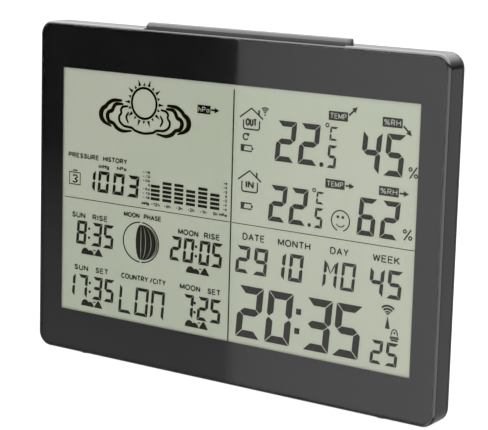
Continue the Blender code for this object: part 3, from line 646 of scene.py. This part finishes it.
def draw_numbers():
    bm = bmesh.new()
    number(bm, "22", (128.3, 140.0), 13.0, 30.7, 11.0, 2.15)
    number(bm, "5", (148.5,), 21.0, 30.7, 5.2, 1.02)
    number(bm, "C", (148.6,), 13.1, 19.0, 4.3, 0.68)
    number(bm, "45", (169.8, 180.9), 13.2, 30.8, 10.3, 2.15)
    number(bm, "22", (124.6, 135.1), 41.2, 57.1, 9.8, 1.9)
    number(bm, "5", (142.8,), 48.4, 57.1, 4.8, 0.98)
    number(bm, "C", (142.9,), 41.4, 46.7, 4.1, 0.66)
    number(bm, "62", (168.7, 179.6), 41.2, 57.2, 9.6, 1.9)
    dot(bm, 140.9, 29.7, 1.05)
    dot(bm, 135.9, 56.3, 0.85)
    finish_ink("climate_figures", bm)

    bm = bmesh.new()
    number(bm, "2035", (114.0, 129.4, 149.1, 163.8), 87.6, 110.9, 14.6, 3.05)
    for u, v in ((132.1, 94.85), (131.5, 103.5)):
        prism(bm, [(u - 1.3, v - 1.3), (u + 1.3, v - 1.3), (u + 1.2, v + 1.3), (u - 1.4, v + 1.3)])
    number(bm, "25", (174.1, 181.4), 100.7, 110.9, 6.4, 1.2)
    finish_ink("clock_figures", bm)

    bm = bmesh.new()
    number(bm, "29", (106.4, 115.7), 70.0, 82.1, 7.9, 1.45)
    number(bm, "10", (124.9, 133.9), 70.0, 82.1, 7.9, 1.45)
    number(bm, "MO", (151.0, 159.8), 70.0, 82.1, 7.7, 1.2)
    number(bm, "45", (173.5, 182.1), 70.0, 82.1, 7.7, 1.45)
    finish_ink("date_figures", bm)

    bm = bmesh.new()
    number(bm, "1003", (19.7, 27.7, 36.5, 44.9), 46.1, 56.1, 7.1, 1.38)
    finish_ink("pressure_figures", bm)

    bm = bmesh.new()
    number(bm, "835", (14.9, 23.9, 30.9), 70.8, 81.9, 6.7, 1.3)
    number(bm, "2005", (69.2, 76.4, 85.1, 91.9), 70.8, 81.9, 6.5, 1.3)
    number(bm, "1735", (8.4, 15.8, 24.5, 31.5), 96.4, 107.3, 6.5, 1.3)
    number(bm, "725", (76.8, 84.8, 91.8), 96.4, 107.3, 6.5, 1.3)
    for u, upper, lower in ((16.0, 74.0, 78.3), (77.2, 74.0, 78.3), (16.8, 99.8, 104.0), (77.2, 99.8, 104.0)):
        dot(bm, u, upper, 0.68, 12)
        dot(bm, u, lower, 0.68, 12)
    number(bm, "LON", (42.4, 51.6, 60.7), 97.6, 110.8, 8.6, 1.25)
    finish_ink("almanac_figures", bm)


# Distance down from one row of the pressure bars to the next
ROW_PITCH = 1.93


def draw_labels():
    bm = bmesh.new()
    rows = [
        ("DATE", 102.0, 113.5, 64.1, 67.3), ("MONTH", 120.4, 136.9, 64.1, 67.3),
        ("DAY", 146.7, 155.8, 64.1, 67.3), ("WEEK", 167.4, 180.3, 64.1, 67.3),
        ("SUN", 5.7, 13.6, 66.9, 69.6), ("RISE", 17.9, 26.9, 66.9, 69.6),
        ("MOON", 36.3, 45.3, 63.0, 65.4), ("PHASE", 47.7, 57.6, 63.0, 65.4),
        ("MOON", 67.2, 78.3, 66.9, 69.6), ("RISE", 81.4, 90.0, 66.9, 69.6),
        ("SUN", 7.4, 15.7, 91.8, 94.5), ("SET", 20.1, 27.7, 91.8, 94.5),
        ("COUNTRY", 35.3, 50.8, 91.9, 94.5), ("/CITY", 51.8, 60.9, 91.9, 94.5),
        ("MOON", 68.8, 80.0, 91.8, 94.5), ("SET", 83.9, 91.1, 91.8, 94.5),
        ("PRESSURE", 3.2, 21.3, 39.0, 41.4), ("HISTORY", 23.7, 37.7, 39.0, 41.4),
        ("inHg", 21.2, 27.3, 42.7, 44.9), ("hPa", 31.9, 37.4, 42.7, 44.6),
        ("OUT", 101.9, 107.9, 13.6, 17.0), ("IN", 102.8, 107.1, 40.9, 44.3),
        ("hPa", 89.3, 93.4, 57.0, 58.5), ("inHg", 46.4, 50.6, 57.0, 58.7),
    ]
    for text, left, right, top, bottom in rows:
        tall = bottom - top
        heavy = 0.2 if text in ("OUT", "IN") else 0.0
        lettering(bm, text, (left, right), (top, bottom), 0.06 + 0.095 * tall + heavy)

    # Hours under the pressure bars, and a scale of inches on their left and of hectopascals on their right
    for i, text in enumerate(("-12h", "-6h", "-3h", "-2h", "-1h", "0h")):
        middle = 54.2 + 6.6 * i
        half = 0.62 * len(text)
        lettering(bm, text, (middle - half, middle + half), (57.0, 58.6), 0.12)
    for i in range(7):
        top = 43.0 + ROW_PITCH * i
        step = 3 - i
        sign = "+" if step > 0 else "-"
        inches = f"{sign}.{abs(step) * 6:02d}" if step else "0"
        hectopascals = f"{sign}{abs(step) * 2}" if step else "0"
        for mark, right in ((inches, 50.9), (hectopascals, 93.3)):
            lettering(bm, mark, (right - 1.05 * len(mark), right), (top, top + 1.2), 0.1)
    finish_ink("display_labels", bm)


def draw_bars():
    bm = bmesh.new()
    for column, count in enumerate((4, 5, 5, 4, 5, 4)):
        left = 51.4 + 6.56 * column
        for row in range(count):
            top, bottom = 54.65 - ROW_PITCH * row, 55.95 - ROW_PITCH * row
            prism(bm, [(left + 0.1, top), (left + 5.1, top), (left + 5.0, bottom), (left, bottom)])
    finish_ink("pressure_bars", bm)


def plaque(bm, light, text, u, v):
    """A dark plaque over the (low, high) ranges u and v, and its light word just in front of it."""
    prism(bm, [(u[0], v[0]), (u[1], v[0]), (u[1], v[1]), (u[0], v[1])])
    inset_u = (u[1] - u[0]) * 0.08
    inset_v = (v[1] - v[0]) * 0.2
    lettering(light, text, (u[0] + inset_u, u[1] - inset_u), (v[0] + inset_v, v[1] - inset_v), stroke=0.07,
              near=INK_DEPTH - mm(0.03))


def arrow(bm, start, end):
    head, half_head, overlap = 2.5, 1.25, 0.3
    du, dv = end[0] - start[0], end[1] - start[1]
    length = hypot(du, dv)
    du, dv = du / length, dv / length
    neck = (end[0] - du * head, end[1] - dv * head)
    ribbon(bm, [start, (neck[0] + du * overlap, neck[1] + dv * overlap)], 0.55)
    prism(bm, [end, (neck[0] - dv * half_head, neck[1] + du * half_head),
               (neck[0] + dv * half_head, neck[1] - du * half_head)])


def draw_plaques():
    dark, light = bmesh.new(), bmesh.new()
    plaque(dark, light, "TEMP", (143.7, 153.0), (6.5, 10.4))
    plaque(dark, light, "%RH", (169.5, 178.8), (6.6, 10.6))
    plaque(dark, light, "TEMP", (143.2, 152.6), (35.3, 39.2))
    plaque(dark, light, "%RH", (169.1, 178.4), (35.3, 39.2))
    plaque(dark, light, "hPa", (76.3, 83.3), (10.2, 14.0))
    arrow(dark, (153.5, 7.7), (157.5, 3.8))
    arrow(dark, (179.3, 9.5), (183.3, 13.4))
    arrow(dark, (153.0, 37.3), (157.3, 37.3))
    arrow(dark, (178.8, 37.4), (183.2, 37.4))
    arrow(dark, (83.6, 12.0), (88.0, 12.0))
    finish_ink("trend_plaques", dark)
    finish_ink("trend_plaque_words", light, GROUND)


def brush(bm, points, weight):
    """A smooth line through (u, v, width) points, every width multiplied by weight."""
    line = spline([(u, v, width * weight) for u, v, width in points])
    ribbon(bm, [(p.x, p.y) for p in line], [p.z for p in line])


def draw_sun_and_clouds():
    bm = bmesh.new()
    centre = (46.8, 12.5)
    ribbon(bm, ellipse(*centre, 6.95, steps=48), 0.92, closed=True)
    for i in range(20):
        angle = radians(90 + 18 * i)
        inner, outer, half = (7.9, 9.5, 0.72) if i % 2 == 0 else (8.1, 11.2, 0.78)
        du, dv = cos(angle), -sin(angle)
        tip = (centre[0] + du * outer, centre[1] + dv * outer)
        root = (centre[0] + du * inner, centre[1] + dv * inner)
        prism(bm, [tip, (root[0] - dv * half, root[1] + du * half),
                   (root[0] + dv * half, root[1] - du * half)])
    finish_ink("sun_symbol", bm)

    axis = 47.0
    strokes = [
        [(34.3, 12.3, 0.5), (29.4, 12.6, 0.9), (26.3, 14.2, 1.0), (25.0, 15.7, 1.1), (23.2, 16.9, 1.3),
         (22.2, 19.1, 1.45), (22.7, 21.4, 1.3), (24.7, 23.2, 0.9), (28.3, 24.6, 0.35)],
        [(34.9, 13.9, 0.5), (31.1, 14.1, 0.9), (29.5, 15.6, 1.0), (28.6, 17.3, 1.0), (26.6, 18.2, 1.0),
         (25.9, 20.1, 1.15), (27.0, 22.4, 1.0), (29.5, 23.2, 0.9), (31.4, 25.0, 1.0), (34.9, 26.2, 0.8),
         (40.0, 25.6, 0.35)],
        [(38.1, 17.2, 0.3), (36.8, 19.6, 0.55), (38.0, 22.2, 0.3)],
    ]
    bm = bmesh.new()
    for stroke in strokes:
        for side in (1, -1):
            brush(bm, [(axis + side * (u - axis), v, width) for u, v, width in stroke], 1.65)
    front = [(37.8, 14.6, 0.5), (34.9, 15.1, 0.7), (33.7, 16.5, 0.75), (33.9, 18.0, 0.7), (32.7, 19.8, 0.75),
             (33.2, 22.1, 0.75), (35.8, 23.8, 0.7), (40.0, 24.2, 0.7), (42.0, 25.3, 0.75), (axis, 26.1, 0.7)]
    mirrored = [(2 * axis - u, v, width) for u, v, width in reversed(front[:-1])]
    brush(bm, front + mirrored, 1.3)
    finish_ink("cloud_symbol", bm)


def draw_moon():
    bm = bmesh.new()
    cu, cv = 46.3, 76.3
    for start in (93, 273):
        ribbon(bm, ellipse(cu, cv, 10.1, 9.25, start, start + 174, 40), 0.36)
    for left, right in ((-2.9, -0.16), (0.16, 2.55), (2.85, 5.7), (6.0, 8.65), (8.95, 9.6)):
        heights = [8.1 * sin(radians(-86 + 172 * i / 24)) for i in range(25)]
        spots = [(sqrt(1 - (height / 8.25) ** 2), cv + height) for height in heights]
        band(bm, *([(cu + edge * reach, v) for reach, v in spots] for edge in (left, right)))
    finish_ink("moon_symbol", bm)


def draw_house(bm, apex, wall_top, wall_bottom, left, right, chimney):
    ribbon(bm, [(apex[0] - 6.0, apex[1] + 4.3), apex, (apex[0] + 6.0, apex[1] + 4.3)], 0.5)
    ribbon(bm, [(chimney, apex[1] + 0.5), (chimney, apex[1] + 2.9)], 0.6)
    walls = [(left, wall_top), (left, wall_bottom - 1)]
    walls += ellipse(left + 1, wall_bottom - 1, 1, 1, 180, 270, 5)[1:]
    walls += ellipse(right - 1, wall_bottom - 1, 1, 1, 270, 360, 5)
    walls.append((right, wall_top))
    ribbon(bm, walls, 0.42)


def draw_cell(bm, left, top, width, height):
    right, bottom = left + width, top + height
    ribbon(bm, [(left, top), (right, top), (right, bottom), (left, bottom)], 0.42, closed=True)
    prism(bm, [(left, top), (left + width * 0.36, top), (left + width * 0.26, bottom), (left, bottom)])
    end = right + 0.2
    prism(bm, [(end, top + 0.6), (end + 0.7, top + 1.0), (end + 0.7, bottom - 1.0), (end, bottom - 0.6)])


def draw_waves(bm, u, v, radii, width, spread):
    for radius in radii:
        ribbon(bm, ellipse(u, v, radius, radius, 90 - spread, 90 + spread, 14), width)


def draw_mountains(bm, left, bottom):
    for centre, half, height in ((2.3, 2.4, 3.1), (5.3, 2.1, 2.3)):
        prism(bm, ellipse(left + centre, bottom, half, height, 0, 180, 12))
    peak = left + 10.2
    summit = bottom - 3.3
    prism(bm, [(peak - 2.7, bottom), (peak - 0.5, summit), (peak + 0.3, summit), (peak + 2.5, bottom)])
    ribbon(bm, ellipse(left + 7.7, bottom - 1.9, 0.75, 0.75, 20, 160, 8), 0.22)


def draw_symbols():
    bm = bmesh.new()
    draw_house(bm, (104.9, 9.2), 14.4, 18.4, 100.9, 109.2, 108.8)
    draw_house(bm, (104.8, 36.5), 41.3, 45.8, 100.9, 109.0, 108.5)
    draw_waves(bm, 111.9, 11.2, (1.0, 1.9, 2.8), 0.34, 38)
    ribbon(bm, [(111.9, 10.9), (111.9, 12.0)], 0.3)
    ribbon(bm, ellipse(102.2, 21.8, 1.3, 1.3, 40, 330, 18), 0.45)
    prism(bm, [(102.6, 20.1), (104.3, 20.3), (103.5, 21.9)])
    draw_cell(bm, 99.9, 25.5, 5.6, 2.5)
    draw_cell(bm, 100.7, 50.9, 5.4, 2.5)
    ribbon(bm, ellipse(143.2, 12.7, 0.75, steps=18), 0.28, closed=True)
    ribbon(bm, ellipse(137.8, 41.0, 0.7, steps=18), 0.28, closed=True)
    for u, v, tall in ((184.6, 28.3, 4.9), (183.2, 54.2, 4.7)):
        ribbon(bm, [(u - 1.5, v + tall / 2), (u + 1.7, v - tall / 2)], 0.42)
        ribbon(bm, ellipse(u - 1.25, v - 1.35, 0.68, steps=16), 0.34, closed=True)
        ribbon(bm, ellipse(u + 1.35, v + 1.25, 0.68, steps=16), 0.34, closed=True)
    finish_ink("sensor_symbols", bm)

    bm = bmesh.new()
    ribbon(bm, ellipse(151.2, 52.5, 4.4, 4.4, -70, 250, 44), 0.3)
    ribbon(bm, ellipse(151.2, 52.6, 2.4, 2.5, 215, 325, 14), 0.22)
    dot(bm, 149.9, 50.9, 0.66, 12)
    dot(bm, 152.3, 50.9, 0.66, 12)
    finish_ink("comfort_symbol", bm)

    bm = bmesh.new()
    draw_waves(bm, 175.6, 89.4, (4.2, 2.9), 0.6, 44)
    draw_waves(bm, 175.6, 89.4, (1.7, 0.8), 0.4, 44)
    prism(bm, [(175.6, 89.6), (176.8, 95.0), (174.5, 95.0)])
    ribbon(bm, ellipse(179.1, 96.9, 1.4, 2.1, 0, 180, 12), 0.24)
    ribbon(bm, [(177.7, 96.9), (177.2, 98.1), (181.1, 98.1), (180.5, 96.9)], 0.26)
    ribbon(bm, [(176.9, 98.7), (181.3, 98.7)], 0.3)
    prism(bm, [(177.4, 99.2), (180.9, 99.2), (180.7, 99.9), (177.6, 99.9)])
    dot(bm, 179.1, 96.3, 0.45, 10)
    finish_ink("clock_symbols", bm)

    bm = bmesh.new()
    for left, bottom in ((11.6, 86.4), (72.1, 86.4), (11.9, 111.1), (72.1, 111.1)):
        draw_mountains(bm, left, bottom)
    finish_ink("rise_and_set_symbols", bm)

    bm = bmesh.new()
    ribbon(bm, [(3.9, 48.4), (10.3, 48.4), (10.3, 54.0), (3.9, 54.0)], 0.34, closed=True)
    ribbon(bm, [(6.0, 47.4), (8.6, 47.4)], 0.36)
    line = spline([(5.9, 50.0), (7.6, 49.6), (8.6, 50.5), (7.2, 51.4), (8.6, 52.2), (7.4, 53.0), (5.9, 52.6)])
    ribbon(bm, [(p.x, p.y) for p in line], 0.42)
    finish_ink("barometer_symbol", bm)


def make_display_sheet():
    """The display's clear front sheet, which holds the figures, and its pale reflector behind."""
    border, gap, corner = mm(0.6), mm(0.02), mm(0.5)
    x = (-WINDOW_HALF_WIDTH - border, WINDOW_HALF_WIDTH + border)
    z = (WINDOW_LOW - border, WINDOW_HIGH + border)
    back = INK_DEPTH + INK_THICKNESS + mm(0.03)
    bm = bmesh.new()
    block(bm, x, (INK_DEPTH - mm(0.06), back), z, corner)
    make_piece("display_front_sheet", bm, GLASS)
    bm = bmesh.new()
    block(bm, x, (back + gap, PANEL_FACE - gap), z, corner)
    make_piece("display_reflector", bm, GROUND)


# ---------------------------------------------------------------- the rest of the frame

def dress_nodes():
    """Give every CAD node that still shows its material, and ease its sharp edges."""
    white = plastic("frame_white_plastic", (0.68, 0.68, 0.66), 0.5)
    switch = plastic("switch_plastic", (0.012, 0.012, 0.012), 0.4)
    board = circuit_board("circuit_board", (0.006, 0.06, 0.02), (0.02, 0.13, 0.05))
    can = metal("tin_plate", (0.72, 0.72, 0.7), 0.25)
    copper = metal("enamelled_copper", (0.72, 0.3, 0.12), 0.3)
    nickel = metal("nickel_plate", (0.75, 0.74, 0.7), 0.22)
    sleeve = cell_sleeve("cell_sleeve_right", True)
    # How a node's name starts: its material, and the width of its eased edges in millimetres
    looks = {
        "rear_case": (REAR, 0.2), "stand_leg": (REAR, 0.25), "battery_door": (REAR, 0.12),
        "rear_button": (KEYS, 0.1), "foot": (FOOT, 0.1),
        "case_screw": (STEEL, 0.08), "board_screw": (STEEL, 0.08),
        "lcd_panel": (GROUND, 0.05), "lcd_frame": (white, 0.1), "humidity_sensor": (white, 0.1),
        "light_guide": (plastic("guide_acrylic", (0.72, 0.76, 0.76), 0.12), 0.05),
        "reflector_sheet": (plastic("reflector_film", (0.8, 0.8, 0.8), 0.35), 0.0),
        "zebra_strip": (rubber("contact_rubber", (0.55, 0.27, 0.3)), 0.1),
        "backlight_led": (plastic("led_resin", (0.8, 0.78, 0.5), 0.25), 0.1),
        "main_board": (board, 0.05), "key_board": (board, 0.05),
        "controller_glob": (plastic("epoxy", (0.008, 0.008, 0.008), 0.2), 0.0),
        "crystal": (can, 0.2), "radio_module": (can, 0.1), "pressure_sensor": (can, 0.1),
        "radio_antenna": (copper, 0.0), "ferrite_coil": (copper, 0.1),
        "ferrite_rod": (plastic("ferrite", (0.035, 0.035, 0.036), 0.55, 3000.0, 0.3), 0.2),
        "key_switch": (switch, 0.1), "snooze_switch": (switch, 0.1), "buzzer": (switch, 0.1),
        "dc_jack": (switch, 0.08), "battery_1": (sleeve, 0.0), "battery_3": (sleeve, 0.0),
        "battery_2": (cell_sleeve("cell_sleeve_left", False), 0.0),
        "battery_contact": (nickel, 0.0), "battery_bridge": (nickel, 0.0),
    }
    replaced = {"front_case", "front_lens", "snooze_bar"}
    for name, node in NODES.items():
        if name in replaced:
            continue
        start = max((start for start in looks if name.startswith(start)), key=len)
        look, ease = looks[start]
        node.data.materials.clear()
        node.data.materials.append(look)
        node.data.shade_smooth()
        node.data.set_sharp_from_angle(angle=radians(35))
        if ease:
            soften(node, mm(ease))


def raise_sign(bm, x, z, y, outline):
    """A flat sign standing on a back face at depth y, its outline in millimetres seen from (x, z)."""
    sunk, proud = mm(0.1), mm(0.18)
    depths = (y - sunk, y + proud)
    skin(bm, [[Vector((x + mm(dx), depth, z + mm(dz))) for dx, dz in outline] for depth in depths])


def rectangle(half_x, half_z, x=0.0, z=0.0):
    return [(x + sx * half_x, z + sz * half_z) for sx, sz in ((-1, -1), (1, -1), (1, 1), (-1, 1))]


def make_back_signs():
    """Thin grey signs on the back: one beside each key, and the door's arrow."""
    disc = [(1.5 * cos(radians(30 * i)), 1.5 * sin(radians(30 * i))) for i in range(12)]
    signs = [
        [disc],
        [[(-1.6, -1.4), (1.6, -1.4), (0, 1.4)]],
        [[(-1.6, 1.4), (1.6, 1.4), (0, -1.4)]],
        [rectangle(1.6, 0.3, z=step) for step in (-1.1, 0.0, 1.1)],
        [rectangle(0.35, 1.5, x=step) for step in (-0.9, 0.9)],
        [rectangle(1.5, 0.35)],
    ]
    bm = bmesh.new()
    for index, outlines in enumerate(signs, 1):
        low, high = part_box(f"rear_button_{index}")
        for outline in outlines:
            raise_sign(bm, high.x + mm(6.2), (low.z + high.z) / 2, REAR_FACE, outline)
    make_piece("key_marks", bm, MARKS, bevel=mm(0.04))

    low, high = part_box("battery_door")
    bm = bmesh.new()
    raise_sign(bm, 0.0, (low.z + high.z) / 2, high.y,
               [(-2.6, 0), (0, -3.0), (2.6, 0), (0.9, 0), (0.9, 4.0), (-0.9, 4.0), (-0.9, 0)])
    make_piece("door_arrow", bm, MARKS, body="door", bevel=mm(0.04))


# ---------------------------------------------------------------- stage, light and camera

def make_floor():
    bm = bmesh.new()
    bmesh.ops.create_grid(bm, x_segments=2, y_segments=2, size=14.0)
    floor = to_object("floor", bm)
    material, graph, shader = new_material("floor_paper")
    graph.set(shader, Base_Color=(0.45, 0.45, 0.45, 1), Roughness=0.95, Specular_IOR_Level=0.0,
              Emission_Color=(1, 1, 1, 1), Emission_Strength=0.85)
    floor.data.materials.append(material)
    floor.visible_glossy = False


def soft_light(name, place, target, size, power):
    light = bpy.data.lights.new(name, "AREA")
    light.shape = "RECTANGLE"
    light.size, light.size_y = size
    light.energy = power
    lamp = bpy.data.objects.new(name, light)
    lamp.location = place
    lamp.rotation_euler = (Vector(target) - Vector(place)).to_track_quat("-Z", "Y").to_euler()
    lamp.visible_glossy = False
    lamp.visible_camera = False
    bpy.context.scene.collection.objects.link(lamp)


AMBIENT_LIGHT = 0.35
PANEL_EDGE = 34.45
PANEL_LIGHT = 1.33
PANEL_RISE = 0.062

# (elevation, brightness) of what surrounds the object
RIGHT_BACK = ((-90, 0.52), (-4, 0.52), (-2, 0.1), (7, 0.1), (20, 0.8), (28, 2.2), (38, 7.0), (90, 7.0))
LEFT_BACK = ((-90, 0.5), (-2, 0.4), (1, 0.75), (9, 0.85), (16, 1.35), (28, 2.3), (38, 7.0), (90, 7.0))
LEFT = ((-90, 0.1), (3, 0.1), (20, 0.8), (28, 2.2), (38, 7.0), (90, 7.0))
RIGHT = ((-90, 0.5), (-35, 0.5), (-28, 3.0), (7, 3.0), (10, 0.25), (22, 0.25), (30, 2.2), (38, 7.0),
         (90, 7.0))
PANEL_GLOW = ((-90, 0.68), (-16.3, 0.68), (-14.2, 0.58), (-12.3, 0.47), (-10.3, 0.31), (-9.2, 0.14),
              (-8.3, 0.0), (90, 0.0))


def make_world():
    """Studio surroundings as the gloss sees them; the camera itself sees plain white.

    bearing is in degrees round from the front, positive to the left; elevation is up from level.
    """
    world = bpy.data.worlds.new("studio")
    bpy.context.scene.world = world
    world.use_nodes = True
    world.cycles.sampling_method = "NONE"
    graph = Graph(world.node_tree)
    calc = graph.math
    x, y, z = graph.split(graph.coordinates("Generated"))
    elevation = calc("MULTIPLY", calc("ARCSINE", z), 180 / pi)
    bearing = calc("ARCTAN2", calc("MULTIPLY", x, -1.0), calc("MULTIPLY", y, -1.0))
    bearing = calc("MULTIPLY", bearing, 180 / pi)

    def step(source, low, high, start=0.0, end=1.0):
        return graph.spread(source, start, end, low, high, smooth=True)

    def profile(points):
        """Brightness by elevation, straight between (degrees, brightness) points."""
        share = graph.spread(elevation, 0.0, 1.0, -90.0, 90.0)
        level = graph.curve(share, [((angle + 90) / 180, value / 10) for angle, value in points])
        return calc("MULTIPLY", level, 10.0)

    def sector(low, high, blur):
        """1 where the bearing is between low and high."""
        return calc("MULTIPLY", step(bearing, low - blur, low + blur),
                    step(bearing, high + blur, high - blur))

    def blend(under, over, share):
        rest = calc("SUBTRACT", 1.0, share)
        return calc("ADD", calc("MULTIPLY", under, rest), calc("MULTIPLY", over, share))

    room = profile(RIGHT_BACK)
    room = blend(room, profile(LEFT_BACK), sector(112.0, 175.0, 8.0))
    room = blend(room, profile(LEFT), sector(62.0, 112.0, 6.0))
    room = blend(room, profile(RIGHT), sector(-104.0, -24.0, 8.0))

    # In front: a bright panel to the right of PANEL_EDGE and a dark one to its left, fading up from below
    blur = step(elevation, -5.0, -17.0, 0.08, 0.34)
    offset = calc("SUBTRACT", PANEL_EDGE, bearing)
    bright = step(calc("DIVIDE", offset, blur), -1.0, 1.0)
    panel = calc("ADD", calc("MULTIPLY", offset, PANEL_RISE), PANEL_LIGHT)
    front = calc("MULTIPLY", sector(-14.0, 58.0, 6.0), step(elevation, 12.0, 3.0))
    room = blend(room, blend(profile(PANEL_GLOW), panel, bright), front)

    ray = graph.add("ShaderNodeLightPath").outputs
    strength = blend(blend(AMBIENT_LIGHT, room, ray["Is Glossy Ray"]), 1.0, ray["Is Camera Ray"])
    graph.set(graph.nodes["Background"], Strength=strength, Color=(1, 1, 1, 1))


def make_camera():
    """Seen from the right and a little above, as in the photograph, with a small vertical shift."""
    target = Vector((mm(9.45), FRONT, mm(93.1)))
    distance = 0.744
    bearing, height, roll = radians(34.136), radians(9.553), radians(1.573)
    back = Vector((sin(bearing) * cos(height), -cos(bearing) * cos(height), sin(height)))
    camera = bpy.data.objects.new("camera", bpy.data.cameras.new("camera"))
    bpy.context.scene.collection.objects.link(camera)
    camera.data.sensor_width = 36
    camera.data.lens = 127.256
    camera.data.shift_y = -0.0717
    camera.data.clip_start = 0.05
    camera.data.clip_end = 50
    turn = (-back).to_track_quat("-Z", "Y").to_matrix().to_4x4() @ Matrix.Rotation(roll, 4, "Z")
    camera.matrix_world = Matrix.Translation(target + back * distance) @ turn
    bpy.context.scene.camera = camera


make_front_shell()
make_lens()
make_bar()
make_display_sheet()
draw_dividers()
draw_numbers()
draw_labels()
draw_bars()
draw_plaques()
draw_sun_and_clouds()
draw_moon()
draw_symbols()
dress_nodes()
make_back_signs()
make_floor()
make_world()
soft_light("overhead", place=(0.3, -0.2, 2.2), target=(0, 0, 0), size=(3.0, 3.0), power=38.0)
soft_light("front_fill", place=(0.75, -0.6, 0.45), target=(0, 0, 0.08), size=(0.5, 0.4), power=5.0)
make_camera()
bpy.context.scene.view_settings.view_transform = "Standard"
